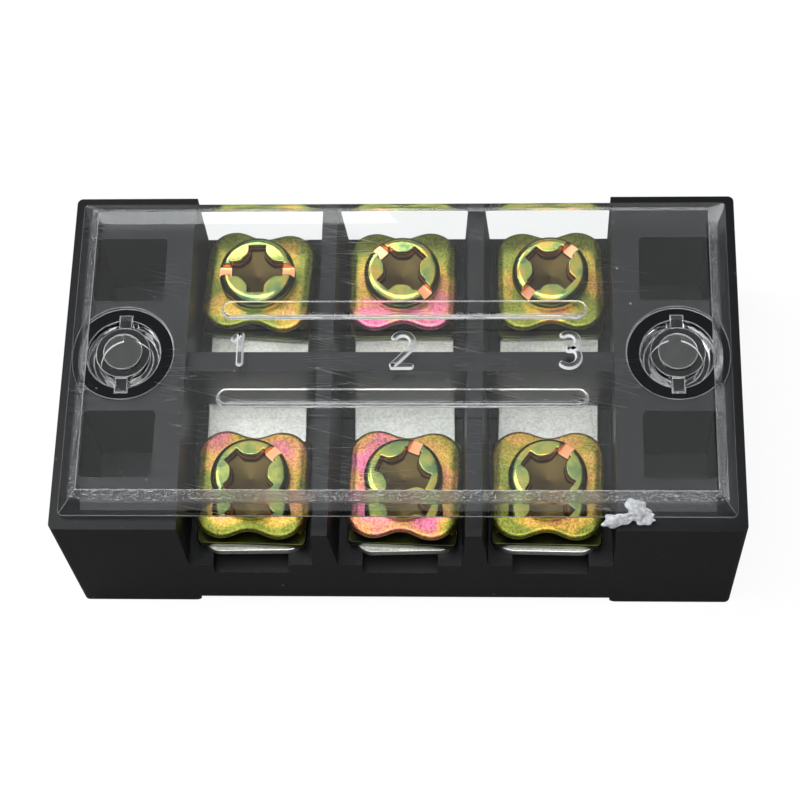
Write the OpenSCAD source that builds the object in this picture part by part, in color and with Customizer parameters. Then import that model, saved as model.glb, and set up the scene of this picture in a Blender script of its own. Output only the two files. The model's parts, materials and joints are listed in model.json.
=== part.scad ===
// Double-row barrier terminal strip with a clear push-on cover.
// Frame: x along the strip, y across it, z up. The origin is at the middle
// of the footprint, on the plane that the two feet stand on.

/* [Base] */
// Overall length of the moulded base
base_l = 57; // [56:0.5:62]
// Depth of the base, from wire side to wire side
base_d = 30.9; // [30.9:0.1:36]
// Height of the two end blocks above the panel
base_h = 17.3; // [16.6:0.1:20]
// Height of the terminal floor above the panel
floor_h = 9.05; // [8:0.05:10]
// Height of the barriers above the panel
barrier_top = 16; // [14.5:0.1:16.2]
// Radius of the upright edges of the base
edge_r = 0.5; // [0.2:0.1:1]
// Height of the relief between the two feet
relief_h = 1; // [0.5:0.1:2]
// Radius of the inner lower edge of each foot
foot_r = 0.6; // [0.2:0.1:0.9]
// Draft of the barriers and of the spine, in degrees a side
draft = 3.7; // [1:0.1:4]

/* [Poles] */
// Number of poles side by side
poles = 3; // [3]
// Distance from pole to pole
pole_pitch = 12.7; // [12.3:0.1:13.2]
// Thickness of a barrier along its top
barrier_t = 1.3; // [0.8:0.1:1.5]
// Thickness of the lengthwise spine along its top
spine_t = 1.8; // [1:0.1:2.4]
// Clear width of a terminal pocket at its floor
pocket_w = 10.5; // [10.5:0.1:10.8]
// Distance from a wire side of the base to its row of screws
row_inset = 5.9; // [5.7:0.05:6.1]

/* [End blocks] */
// Distance between the two mounting holes
mount_pitch = 46.4; // [45.6:0.1:47]
// Diameter of a mounting hole
mount_d = 3.6; // [3:0.1:4.4]
// Diameter of the bore that takes the screw head and the cover's boss
boss_bore_d = 6.4; // [6.3:0.1:7]
// Height of the ledge under a mounting screw's head
ledge_h = 6.5; // [3:0.1:8]
// Width of a square coring pocket
core_w = 6; // [4:0.1:6.6]
// Depth of a coring pocket below the top of the block
core_depth = 9; // [5:0.1:12]
// Distance between the centres of a block's two coring pockets
core_gap = 16.2; // [15.6:0.1:17]
// Corner radius of a coring pocket
core_r = 0.4; // [0.2:0.1:1]

/* [Link bars] */
// Width of a link bar
bar_w = 8.6; // [7.6:0.1:9.4]
// Distance from a wire side of the base to the end of a link bar
bar_inset = 0.95; // [0.4:0.05:1.2]
// Thickness of a link bar
bar_t = 0.85; // [0.6:0.05:1.2]
// Corner radius of a link bar
bar_r = 1.5; // [0.3:0.1:2]
// Sideways place of each link bar in its slot, left to right
bar_shifts = [0.1, 0.15, -0.1];
// Turn of each link bar in its slot, left to right
bar_turns = [0.9, 1.5, -1];
// Outer diameter of a tapped collar
collar_d = 5.2; // [5:0.1:5.4]
// Height of a tapped collar below its bar
collar_h = 1.75; // [1:0.05:1.8]
// Width of the groove that the collars slide along
groove_w = 6.4; // [6.2:0.1:7]
// Depth of the groove below the terminal floor
groove_depth = 1.9; // [1.85:0.05:2.4]

/* [Clamps] */
// Width of a square clamp plate
plate_w = 9.3; // [8.4:0.1:9.3]
// Thickness of a clamp plate
plate_t = 0.8; // [0.5:0.05:1]
// Width of a saddle washer
saddle_w = 9.4; // [8.4:0.1:9.4]
// Length of a saddle washer across the strip
saddle_l = 9.4; // [8.8:0.1:9.8]
// Sheet thickness of a saddle washer
saddle_t = 0.8; // [0.5:0.05:1]
// Height of a saddle washer over its clamp plate
saddle_h = 2; // [1.7:0.05:2.2]
// Outer radius of the bend at each side of a saddle washer
saddle_bend = 1.7; // [1.2:0.05:1.7]
// Corner radius of a saddle washer, seen from above
saddle_corner = 2.3; // [1:0.1:3]
// Depth of the waist in the two cut edges of a saddle washer
saddle_waist = 0.6; // [0.2:0.05:1]
// Turn of each clamp in its pocket, far row then near row, left to right
clamp_turns = [-4, 0.5, 1, -1.4, -2.4, -1];

/* [Screws] */
// Diameter of a terminal screw
screw_d = 4; // [3.4:0.1:4]
// Length of a terminal screw under its head
screw_l = 7; // [6:0.1:7.4]
// Diameter of a screw head
head_d = 6.6; // [6.2:0.1:7]
// Height of a screw head
head_h = 2.1; // [1.7:0.05:2.2]
// Radius of the shoulder round the top of a head
head_shoulder = 0.9; // [0.4:0.05:1.2]
// Width of the driver slot
slot_w = 1.05; // [0.8:0.05:1.3]
// Depth of the driver slot
slot_depth = 0.9; // [0.5:0.05:1.2]
// Tip-to-tip size of the cross recess
cross_size = 4.5; // [3.6:0.1:5]
// Mouth of the cone in the middle of the cross recess
cross_cone = 3.3; // [2.4:0.1:4]
// Width of a wing of the cross recess
cross_wing = 1.3; // [0.8:0.05:1.5]
// Depth of the cross recess
cross_depth = 1.4; // [0.8:0.05:1.5]
// Direction of each driver slot, far row then near row, left to right
slot_turns = [0, 135, 48, 45, 68, 55];

/* [Cover] */
// Length of the cover
cover_l = 55.4; // [54:0.1:57]
// Depth of the cover
cover_d = 29; // [27:0.1:30.5]
// Thickness of the cover
cover_t = 1.8; // [1.4:0.05:2.2]
// Size of the chamfer round the top of the cover
cover_chamfer = 1.65; // [0.5:0.05:1.8]
// Radius of the cover's upright corners
cover_r = 0.5; // [0.2:0.1:1]
// Height of the round seats that hold the cover off the base
seat_h = 0.5; // [0.3:0.05:0.8]
// Diameter of a seat
seat_d = 8.5; // [7.6:0.1:9.5]
// Diameter of a split boss at its root
boss_d = 6.2; // [6:0.05:6.2]
// Diameter of a split boss at its mouth
boss_tip_d = 5.5; // [5.3:0.05:5.8]
// Inner diameter of a split boss
boss_bore = 4.6; // [4:0.05:4.8]
// Length of a split boss below its seat
boss_l = 2.3; // [1.5:0.1:3.5]
// Width of the two slots that split a boss
boss_slot = 1.05; // [0.6:0.05:1.6]
// How far the slots run into the seat, past the root of the boss
boss_notch = 0.45; // [0.2:0.05:0.8]
// Diameter of the dimple over a boss
dimple_d = 3.3; // [2:0.1:4]
// Depth of the dimple over a boss
dimple_depth = 0.4; // [0.2:0.05:0.6]
// Length of a raised rib on the cover
rib_l = 30.6; // [20:0.1:36]
// Width of a raised rib
rib_w = 1.65; // [1:0.05:2.4]
// Height of a raised rib
rib_h = 0.3; // [0.15:0.05:0.5]
// Distance between the two ribs, centre to centre
rib_gap = 8.1; // [6:0.1:12]
// Shift of the pair of ribs across the strip
rib_shift = -0.65; // [-1:0.05:1]
// Shift of the raised marks along the strip
mark_shift = 0.4; // [0:0.1:1]

/* [Hidden] */
$fn = 64;

// Clearances
bar_fit = 0.25;      // a link bar in its slot through the spine, all round
thread_fit = 0.05;   // a plain shank in a tapped collar, on the radius
washer_fit = 0.25;   // a shank through a clamp plate or saddle, on the radius
well_fit = 0.8;      // a screw's tip in its well, on the radius and below
cut = 0.02;          // how far a cutting shape overshoots

// Heights, from the panel up
groove_z = floor_h - groove_depth;
plate_z = floor_h + bar_t;
saddle_z = plate_z + plate_t;
head_z = saddle_z + saddle_h;
well_z = head_z - screw_l - well_fit;
cover_z = base_h + seat_h;
cover_top = cover_z + cover_t;

// Places across the strip
row_y = base_d / 2 - row_inset;
bar_l = base_d - 2 * bar_inset;
span = (poles - 1) * pole_pitch + pocket_w;   // clear length between the end blocks
rise = barrier_top - floor_h;

function pole_x(i) = (i - (poles - 1) / 2) * pole_pitch;
function row_side(far) = far ? 1 : -1;
function arc(c, r, from, to, n) =
    [for (i = [0 : n]) let (a = from + (to - from) * i / n) c + r * [cos(a), sin(a)]];

// ---- shared shapes ----------------------------------------------------

// Upright block with round corners, standing on z = 0
module round_block(l, d, h, r) {
    translate([-l / 2 + r, -d / 2, 0]) cube([l - 2 * r, d, h]);
    translate([-l / 2, -d / 2 + r, 0]) cube([l, d - 2 * r, h]);
    for (x = [-1, 1], y = [-1, 1])
        translate([x * (l / 2 - r), y * (d / 2 - r), 0]) cylinder(r = r, h = h);
}

// Outline in x and z, carried along y over the length l about y = 0
module along_y(l) {
    translate([0, l / 2, 0]) rotate([90, 0, 0]) linear_extrude(l) children();
}

// Outline in y and z, carried along x over the length l about x = 0
module along_x(l) {
    translate([-l / 2, 0, 0]) rotate([90, 0, 90]) linear_extrude(l) children();
}

// ---- base ---------------------------------------------------------------

// A pocket flares upwards at the barriers but not at the end blocks
module pocket_outline(i) {
    x = pole_x(i);
    flare = rise * tan(draft);
    left = i == 0 ? 0 : flare;
    right = i == poles - 1 ? 0 : flare;
    polygon([
        [x - pocket_w / 2, floor_h],
        [x + pocket_w / 2, floor_h],
        [x + pocket_w / 2 + right, barrier_top + cut],
        [x - pocket_w / 2 - left, barrier_top + cut]
    ]);
}

// Spine between the rows: upright in the middle, thicker towards its foot
module spine_outline() {
    foot = spine_t / 2 + rise * tan(draft);
    polygon([
        [-foot, floor_h - cut],
        [foot, floor_h - cut],
        [spine_t / 2, barrier_top + 2 * cut],
        [-spine_t / 2, barrier_top + 2 * cut]
    ]);
}

// Relief under the body, with the inner edge of each foot rounded over
module relief_outline() {
    half = span / 2;
    polygon(concat(
        [[-half - foot_r, -cut]],
        arc([-half - foot_r, foot_r], foot_r, -90, 0, 8),
        [[-half, relief_h], [half, relief_h]],
        arc([half + foot_r, foot_r], foot_r, 180, 270, 8),
        [[half + foot_r, -cut]]
    ));
}

module pole_cuts(i) {
    difference() {
        along_y(base_d + 2 * cut) pocket_outline(i);
        along_x(base_l) spine_outline();
    }
    // slot for the link bar and groove for its collars, right through the spine
    translate([pole_x(i) - bar_w / 2 - bar_fit, -base_d / 2 - cut, floor_h])
        cube([bar_w + 2 * bar_fit, base_d + 2 * cut, bar_t + bar_fit]);
    translate([pole_x(i) - groove_w / 2, -base_d / 2 - cut, groove_z])
        cube([groove_w, base_d + 2 * cut, groove_depth + cut]);
    // wells for the tips of the screws
    for (far = [true, false])
        translate([pole_x(i), row_side(far) * row_y, well_z])
            cylinder(d = screw_d + 2 * well_fit, h = groove_z - well_z + cut);
}

module end_block_cuts() {
    translate([0, 0, -cut]) cylinder(d = mount_d, h = base_h + 2 * cut);
    translate([0, 0, ledge_h]) cylinder(d = boss_bore_d, h = base_h - ledge_h + cut);
    for (y = [-1, 1])
        translate([0, y * core_gap / 2, base_h - core_depth])
            round_block(core_w, core_w, core_depth + cut, core_r);
}

module base() {
    color("#1b1b1d") difference() {
        round_block(base_l, base_d, base_h, edge_r);
        translate([-span / 2, -base_d / 2 - cut, barrier_top])
            cube([span, base_d + 2 * cut, base_h - barrier_top + cut]);
        for (i = [0 : poles - 1]) pole_cuts(i);
        along_y(base_d + 2 * cut) relief_outline();
        for (x = [-1, 1]) translate([x * mount_pitch / 2, 0, 0]) end_block_cuts();
    }
}

// ---- link bars ------------------------------------------------------------

// Puts its children in the frame of link bar i, which lies a little askew
module on_bar(i) {
    translate([pole_x(i) + bar_shifts[i], 0, 0]) rotate([0, 0, bar_turns[i]]) children();
}

// Flat bar with two tapped collars drawn down from it, one under each screw
module link_bar(i) {
    color("#c9c9c6") on_bar(i) difference() {
        union() {
            translate([0, 0, floor_h]) round_block(bar_w, bar_l, bar_t, bar_r);
            for (far = [true, false])
                translate([0, row_side(far) * row_y, floor_h - collar_h])
                    cylinder(d = collar_d, h = collar_h + cut);
        }
        for (far = [true, false])
            translate([0, row_side(far) * row_y, floor_h - collar_h - cut])
                cylinder(r = screw_d / 2 + thread_fit, h = collar_h + bar_t + 2 * cut);
    }
}

// ---- clamps and screws ------------------------------------------------------

// Puts its children on the axis of terminal k, turned by its own angle
module at_terminal(far, i, z, turns) {
    k = (far ? 0 : poles) + i;
    on_bar(i) translate([0, row_side(far) * row_y, z])
        rotate([0, 0, turns[k] - bar_turns[i]]) children();
}

module clamp_plate(far, i) {
    color("#c8bf6a") at_terminal(far, i, plate_z, clamp_turns) difference() {
        round_block(plate_w, plate_w, plate_t, edge_r);
        translate([0, 0, -cut]) cylinder(r = screw_d / 2 + washer_fit, h = plate_t + 2 * cut);
    }
}

// Rounded outline whose two cut edges draw in to a waist in the middle
module saddle_outline() {
    hx = saddle_w / 2 - saddle_corner;
    hy = saddle_l / 2 - saddle_corner;
    wave = [for (i = [-11 : 11]) let (u = i / 12)
        [hx * u, saddle_l / 2 - saddle_waist * (1 + cos(180 * u)) / 2]];
    polygon(concat(
        arc([hx, -hy], saddle_corner, -90, 0, 10),
        arc([hx, hy], saddle_corner, 0, 90, 10),
        [for (i = [len(wave) - 1 : -1 : 0]) wave[i]],
        arc([-hx, hy], saddle_corner, 90, 180, 10),
        arc([-hx, -hy], saddle_corner, 180, 270, 10),
        [for (p = wave) [p[0], -p[1]]]
    ));
}

// Sheet bent down at both sides, so that it stands on its two lower edges
module saddle_section() {
    hx = saddle_w / 2;
    bend = saddle_bend;
    inner = bend - saddle_t;
    top = saddle_h - bend;
    polygon(concat(
        [[hx, 0]],
        arc([hx - bend, top], bend, 0, 90, 12),
        arc([-hx + bend, top], bend, 90, 180, 12),
        [[-hx, 0], [-hx + saddle_t, 0]],
        arc([-hx + bend, top], inner, 180, 90, 12),
        arc([hx - bend, top], inner, 90, 0, 12),
        [[hx - saddle_t, 0]]
    ));
}

module saddle_washer(far, i) {
    color("#c8b95a") at_terminal(far, i, saddle_z, clamp_turns) difference() {
        intersection() {
            along_y(saddle_l) saddle_section();
            linear_extrude(saddle_h) saddle_outline();
        }
        cylinder(r = screw_d / 2 + washer_fit, h = saddle_h + cut);
    }
}

// Pan head: straight side, then a shoulder that rounds over to the flat top
module head_outline() {
    r = head_d / 2;
    polygon(concat(
        [[0, 0], [r, 0]],
        arc([r - head_shoulder, head_h - head_shoulder], head_shoulder, 0, 90, 12),
        [[0, head_h]]
    ));
}

// Driver slot right across the head, and a cross recess whose wings lie on it
module drive_cuts() {
    translate([-head_d / 2 - cut, -slot_w / 2, head_h - slot_depth])
        cube([head_d + 2 * cut, slot_w, slot_depth + cut]);
    for (a = [0, 90])
        rotate([0, 0, a]) translate([-cross_size / 2, -cross_wing / 2, head_h - cross_depth])
            cube([cross_size, cross_wing, cross_depth + cut]);
    translate([0, 0, head_h - cross_depth])
        cylinder(d1 = cross_wing, d2 = cross_cone, h = cross_depth + cut);
}

module terminal_screw(far, i) {
    color("#b9b884") at_terminal(far, i, head_z, slot_turns) {
        difference() {
            rotate_extrude() head_outline();
            drive_cuts();
        }
        translate([0, 0, -screw_l]) cylinder(d = screw_d, h = screw_l + cut);
    }
}

// ---- cover ------------------------------------------------------------------

// Upright wall at the rim, then a chamfer in to the flat top
module cover_outline(l) {
    h = l / 2;
    polygon([
        [-h, 0], [h, 0],
        [h, cover_t - cover_chamfer], [h - cover_chamfer, cover_t],
        [-h + cover_chamfer, cover_t], [-h, cover_t - cover_chamfer]
    ]);
}

module cover_plate() {
    intersection() {
        round_block(cover_l, cover_d, cover_t, cover_r);
        along_y(cover_d) cover_outline(cover_l);
        along_x(cover_l) cover_outline(cover_d);
    }
}

// Half of a rib's section: flat top, rounded edge, sunk a little for the union
module rib_half() {
    polygon(concat(
        [[0, -cut], [rib_w / 2, -cut]],
        arc([rib_w / 2 - rib_h, 0], rib_h, 0, 90, 8),
        [[0, rib_h]]
    ));
}

module rib() {
    run = rib_l - rib_w;
    along_x(run) union() { rib_half(); mirror([1, 0]) rib_half(); }
    for (x = [-1, 1]) translate([x * run / 2, 0, 0]) rotate_extrude() rib_half();
}

// Seat and split boss under one end of the cover; z = 0 is the underside of the plate
module seat_and_boss() {
    tip_z = -seat_h - boss_l;
    difference() {
        union() {
            translate([0, 0, -seat_h]) cylinder(d = seat_d, h = seat_h + cut);
            translate([0, 0, tip_z]) cylinder(d1 = boss_tip_d, d2 = boss_d, h = boss_l + cut);
        }
        translate([0, 0, tip_z - cut]) cylinder(d = boss_bore, h = boss_l + seat_h + cut);
        translate([-boss_slot / 2, -boss_d / 2 - boss_notch, tip_z - cut])
            cube([boss_slot, boss_d + 2 * boss_notch, boss_l + seat_h / 2 + cut]);
    }
}

module cover() {
    color([0.86, 0.9, 0.92, 0.3]) translate([0, 0, cover_z]) {
        difference() {
            cover_plate();
            for (x = [-1, 1]) translate([x * mount_pitch / 2, 0, -cut])
                cylinder(d = dimple_d, h = dimple_depth + cut);
        }
        for (x = [-1, 1]) translate([x * mount_pitch / 2, 0, 0]) seat_and_boss();
        for (y = [-1, 1]) translate([mark_shift, rib_shift + y * rib_gap / 2, cover_t]) rib();
    }
}

// ---- nodes ------------------------------------------------------------------

base();
cover();
link_bar(0);  // link_bar_1
link_bar(1);  // link_bar_2
link_bar(2);  // link_bar_3
clamp_plate(true, 0);  // clamp_plate_far_1
clamp_plate(true, 1);  // clamp_plate_far_2
clamp_plate(true, 2);  // clamp_plate_far_3
clamp_plate(false, 0);  // clamp_plate_near_1
clamp_plate(false, 1);  // clamp_plate_near_2
clamp_plate(false, 2);  // clamp_plate_near_3
saddle_washer(true, 0);  // saddle_washer_far_1
saddle_washer(true, 1);  // saddle_washer_far_2
saddle_washer(true, 2);  // saddle_washer_far_3
saddle_washer(false, 0);  // saddle_washer_near_1
saddle_washer(false, 1);  // saddle_washer_near_2
saddle_washer(false, 2);  // saddle_washer_near_3
terminal_screw(true, 0);  // terminal_screw_far_1
terminal_screw(true, 1);  // terminal_screw_far_2
terminal_screw(true, 2);  // terminal_screw_far_3
terminal_screw(false, 0);  // terminal_screw_near_1
terminal_screw(false, 1);  // terminal_screw_near_2
terminal_screw(false, 2);  // terminal_screw_near_3
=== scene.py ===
"""Barrier terminal strip: the looks of its moulded base, clear cover, plated bars, clamps and screws."""

import json
import math

import bmesh
import bpy
import numpy as np
from mathutils import Matrix, Vector


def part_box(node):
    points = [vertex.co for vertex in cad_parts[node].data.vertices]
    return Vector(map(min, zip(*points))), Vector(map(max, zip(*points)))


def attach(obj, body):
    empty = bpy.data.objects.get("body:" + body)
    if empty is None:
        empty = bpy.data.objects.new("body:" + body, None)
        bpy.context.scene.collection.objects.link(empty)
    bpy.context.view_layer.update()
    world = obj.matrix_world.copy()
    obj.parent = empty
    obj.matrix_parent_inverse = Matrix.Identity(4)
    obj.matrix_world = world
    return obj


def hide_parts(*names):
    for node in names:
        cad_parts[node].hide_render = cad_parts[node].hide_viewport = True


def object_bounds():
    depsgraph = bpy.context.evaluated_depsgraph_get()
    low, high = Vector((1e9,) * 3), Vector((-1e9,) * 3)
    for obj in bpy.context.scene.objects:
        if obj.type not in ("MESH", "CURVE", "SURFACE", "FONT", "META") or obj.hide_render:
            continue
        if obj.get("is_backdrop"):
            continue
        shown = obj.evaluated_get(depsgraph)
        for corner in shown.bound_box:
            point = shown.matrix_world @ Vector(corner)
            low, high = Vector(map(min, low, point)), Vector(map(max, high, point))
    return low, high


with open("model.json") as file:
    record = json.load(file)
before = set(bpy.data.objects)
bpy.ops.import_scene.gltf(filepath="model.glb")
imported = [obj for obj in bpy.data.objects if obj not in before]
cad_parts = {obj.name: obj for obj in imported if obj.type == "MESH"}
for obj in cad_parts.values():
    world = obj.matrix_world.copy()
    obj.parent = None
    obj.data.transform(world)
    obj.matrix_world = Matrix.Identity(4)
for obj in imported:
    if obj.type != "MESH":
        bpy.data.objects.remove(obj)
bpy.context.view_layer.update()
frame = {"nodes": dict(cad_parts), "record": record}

bl_info = {
    "name": "Barrier Terminal Strip",
    "version": (1, 0, 0),
    "blender": (4, 5, 0),
    "location": "3D View > Sidebar > Terminal Strip",
    "description": "Finishes a three-pole barrier terminal strip under a clear cover",
    "category": "Add Mesh",
}

MM = 0.001
ROWS = ("far", "near")
POLES = (1, 2, 3)
TERMINALS = [(row, pole) for row in ROWS for pole in POLES]


def linear(code):
    """An sRGB hex colour such as "#c8a040" as linear red, green and blue."""
    values = np.array([int(code[i : i + 2], 16) for i in (1, 3, 5)]) / 255.0
    low = values / 12.92
    high = ((values + 0.055) / 1.055) ** 2.4
    return tuple(float(v) for v in np.where(values <= 0.04045, low, high))


# ---- sizes and colours -------------------------------------------------------


def size(name, description, default):
    """A length property in millimetres."""
    return bpy.props.FloatProperty(name=name, description=description, default=default, min=0.0, max=100.0)


def colour(name, description, code):
    """A colour property whose default is an sRGB hex code."""
    return bpy.props.FloatVectorProperty(
        name=name, description=description, subtype="COLOR", size=3, min=0.0, max=1.0, default=linear(code)
    )


class StripEdges(bpy.types.PropertyGroup):
    """Edge rounding of the pieces that keep their CAD form, in millimetres"""

    base: size("Base edge", "Rounding of the moulded base's edges", 0.12)
    cover: size("Cover edge", "Rounding of the clear cover's edges", 0.1)
    bar: size("Bar edge", "Rounding of a link bar's cut edges", 0.1)
    plate: size("Plate edge", "Rounding of a clamp plate's cut edges", 0.12)


class SaddleSizes(bpy.types.PropertyGroup):
    """Form of a saddle washer, in millimetres"""

    width: size("Width", "Width along the strip", 9.4)
    length: size("Length", "Length across the strip", 9.4)
    height: size("Height", "Height over the clamp plate", 2.0)
    thickness: size("Thickness", "Thickness of the sheet", 0.8)
    bend: size("Bend", "Outer radius of the bend at each side", 0.95)
    corner: size("Corner", "Corner radius seen from above", 2.3)
    waist: size("Waist", "Depth of the waist in each cut edge", 0.6)
    lobe: size("Lobe", "How far the four corner lobes are pressed down", 0.12)
    hole: size("Hole", "Radius of the screw hole", 2.25)
    edge: size("Edge", "Rounding of the cut edge", 0.4)


class ScrewSizes(bpy.types.PropertyGroup):
    """Form of a terminal screw, in millimetres"""

    head: size("Head", "Radius of the pan head", 3.3)
    height: size("Height", "Height of the head", 2.1)
    shoulder: size("Shoulder", "Width of the steep shoulder round the top", 0.75)
    drop: size("Drop", "Height of the steep shoulder round the top", 0.95)
    slot: size("Slot", "Width of the driver slot", 1.05)
    slot_depth: size("Slot depth", "Depth of the driver slot", 0.9)
    cross: size("Cross", "Tip-to-tip size of the cross recess", 4.5)
    wing: size("Wing", "Width of a wing of the cross recess", 1.35)
    core: size("Core", "Radius of the cone in the middle of the cross recess", 1.5)
    cross_depth: size("Cross depth", "Depth of the cross recess at its centre", 1.75)
    shank: size("Shank", "Radius over the crests of the thread", 2.0)
    pitch: size("Pitch", "Pitch of the thread", 0.7)
    length: size("Length", "Length under the head", 7.0)


class MarkSizes(bpy.types.PropertyGroup):
    """Raised figures on the cover, in millimetres"""

    height: size("Figure height", "Height of a pole number", 3.6)
    stroke: size("Stroke", "Width of a raised stroke", 0.62)
    relief: size("Relief", "Height of a stroke above the cover", 0.27)
    pitch: size("Pitch", "Distance from figure to figure", 13.75)


class StripColours(bpy.types.PropertyGroup):
    """Colours of the finishes"""

    black: colour("Black moulding", "Body colour of the base", "#0a0b0d")
    dust: colour("Dust", "Moulding dust and lint on the base", "#7d7f84")
    clear: colour("Clear moulding", "Tint of the cover", "#f6f8f8")
    # also the colour of the painted highlights on the cover's figures, flecks and rounded edges
    stress: colour("Stress white", "Torn gate of the cover", "#cdd0d4")
    tin: colour("Tin plate", "Link bars", "#d2d2cc")
    olive: colour("Olive zinc", "Greenish zones of the yellow zinc", "#858c40")
    gold: colour("Gold zinc", "Yellow zones of the yellow zinc", "#cba850")
    amber: colour("Amber zinc", "Orange zones of the yellow zinc", "#d6966c")
    rose: colour("Rose zinc", "Pink zones of the yellow zinc", "#d87898")
    # painted shade: this colour darkens the clamp plates for the shade they lie in under the saddles
    plate: colour("Plate zinc", "Dark plate on the clamp plates", "#1e2218")
    screw: colour("Screw zinc", "Greenish plate on the screw heads", "#a2ab5e")
    salmon: colour("Slot zinc", "Orange plate on the floor of a slot", "#eda57c")
    # painted shade: the dark brown of the deep cross recess
    recess: colour("Recess", "Dark plate in the cross recess", "#453a20")
    floor: colour("Floor", "Studio floor", "#f4f4f4")


# ---- mesh helpers --------------------------------------------------------------


def grid_faces(rows, columns, wrap_rows=False, wrap_columns=False):
    """Quads of a rows by columns grid of points, numbered row by row, closed on itself where asked."""
    r = np.arange(rows if wrap_rows else rows - 1)
    c = np.arange(columns if wrap_columns else columns - 1)
    r0, c0 = np.meshgrid(r, c, indexing="ij")
    r1, c1 = (r0 + 1) % rows, (c0 + 1) % columns
    quads = np.stack([r0 * columns + c0, r0 * columns + c1, r1 * columns + c1, r1 * columns + c0], -1)
    return quads.reshape(-1, 4)


def folded(ring):
    """Quads that close a ring with an even number of points, paired from both sides of its first point."""
    n = len(ring)
    return np.array([[ring[i], ring[i + 1], ring[n - 2 - i], ring[n - 1 - i]] for i in range(n // 2 - 1)])


def tube_faces(rows, columns):
    """Quads of a grid closed round its columns and folded shut over its first and last rows."""
    ring = np.arange(columns)
    ends = [folded(ring)[:, ::-1], folded(ring + (rows - 1) * columns)]
    return np.concatenate([grid_faces(rows, columns, wrap_columns=True)] + ends)


def outward(points, faces):
    """The quads wound so that the volume they close, the sum of a . (b x c) / 6, is positive."""
    a, b, c, d = (points[faces[:, i]] - points.mean(axis=0) for i in range(4))
    volume = np.sum(a * np.cross(b, c)) + np.sum(a * np.cross(c, d))
    return faces if volume > 0 else faces[:, ::-1]


def new_piece(name, points, faces, body, material, smooth=True):
    """A mesh object at the origin from points in millimetres and quads, riding on a CAD body."""
    mesh = bpy.data.meshes.new(name)
    mesh.vertices.add(len(points))
    mesh.vertices.foreach_set("co", (np.asarray(points) * MM).astype(np.float32).ravel())
    flat = outward(np.asarray(points), np.asarray(faces, dtype=np.int32))
    mesh.loops.add(flat.size)
    mesh.loops.foreach_set("vertex_index", flat.ravel())
    mesh.polygons.add(len(flat))
    mesh.polygons.foreach_set("loop_start", np.arange(len(flat), dtype=np.int32) * flat.shape[1])
    mesh.update(calc_edges=True)
    mesh.validate()
    mesh.polygons.foreach_set("use_smooth", np.full(len(mesh.polygons), smooth))
    piece = bpy.data.objects.new(name, mesh)
    bpy.context.collection.objects.link(piece)
    piece.data.materials.append(material)
    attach(piece, body)
    return piece


def add_values(piece, name, values):
    """A number for each point of a piece, for its material to read."""
    layer = piece.data.attributes.new(name, "FLOAT", "POINT")
    layer.data.foreach_set("value", np.asarray(values, dtype=np.float32).ravel())


# Points of a CAD mesh nearer than this are merged, in metres, and faces flatter than this to each other
# are rejoined, in degrees
MERGE, REJOIN = 2e-6, 0.6
# Edges sharper than this are rounded, in degrees, with so many faces
SHARP, ROUNDING_FACES = 28.0, 3


def softened(node, width, material):
    """A copy of a CAD node's mesh with its doubles merged, its flat faces rejoined and its edges rounded."""
    source = frame["nodes"][node]
    work = bmesh.new()
    work.from_mesh(source.data)
    bmesh.ops.remove_doubles(work, verts=work.verts, dist=MERGE)
    bmesh.ops.dissolve_limit(
        work,
        angle_limit=math.radians(REJOIN),
        use_dissolve_boundaries=False,
        verts=work.verts,
        edges=work.edges,
    )
    bmesh.ops.recalc_face_normals(work, faces=work.faces)
    mesh = bpy.data.meshes.new(node + "_soft")
    work.to_mesh(mesh)
    work.free()
    piece = bpy.data.objects.new(node + "_soft", mesh)
    bpy.context.collection.objects.link(piece)
    mesh.polygons.foreach_set("use_smooth", np.ones(len(mesh.polygons), dtype=bool))
    bevel = piece.modifiers.new("Edges", "BEVEL")
    bevel.width = width * MM
    bevel.segments = ROUNDING_FACES
    bevel.limit_method = "ANGLE"
    bevel.angle_limit = math.radians(SHARP)
    bevel.use_clamp_overlap = True
    # large faces decide the normals, so that flats stay flat up to their rounded edges
    weighted = piece.modifiers.new("Normals", "WEIGHTED_NORMAL")
    weighted.weight = 100
    mesh.materials.clear()
    mesh.materials.append(material)
    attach(piece, body_of(node))
    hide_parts(node)
    return piece


def body_of(node):
    """The name of the body that a CAD node rides on."""
    for name, nodes in frame["record"]["behaviour"]["bodies"].items():
        if node in nodes:
            return name
    raise ValueError("no body holds " + node)


def middle(node):
    """The middle of a CAD node's box, in millimetres."""
    low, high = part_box(node)
    return (np.array(low) + np.array(high)) / 2 / MM


def lowest(node):
    """The lowest height of a CAD node, in millimetres."""
    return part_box(node)[0][2] / MM


def highest(node):
    """The highest height of a CAD node, in millimetres."""
    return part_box(node)[1][2] / MM


def smooth_step(x, low, high):
    """0 below low, 1 above high, and a cubic ease between them."""
    t = np.clip((x - low) / (high - low), 0.0, 1.0)
    return t * t * (3 - 2 * t)


def turned(x, y, degrees):
    """Plan coordinates turned anticlockwise about the origin."""
    a = math.radians(degrees)
    return x * math.cos(a) - y * math.sin(a), x * math.sin(a) + y * math.cos(a)


# ---- materials -------------------------------------------------------------------

WHITE = (1.0, 1.0, 1.0, 1.0)


def add_node(tree, kind, settings=None, **links):
    """Adds one node: settings go to its properties, links to its inputs, as a value or as another socket.

    An input goes by its name, with _ for a space, or by its number, as in i0."""
    node = tree.nodes.new(kind)
    for key, value in (settings or {}).items():
        setattr(node, key, value)
    for key, value in links.items():
        numbered = key[0] == "i" and key[1:].isdigit()
        socket = node.inputs[int(key[1:]) if numbered else key.replace("_", " ")]
        if isinstance(value, bpy.types.NodeSocket):
            tree.links.new(value, socket)
        else:
            socket.default_value = value
    return node


def noise(tree, place, scale, detail, **more):
    """The level of a noise, from 0 to 1; scale is in features to a millimetre of place."""
    return add_node(tree, "ShaderNodeTexNoise", Vector=place, Scale=scale, Detail=detail, **more).outputs["Fac"]


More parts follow.
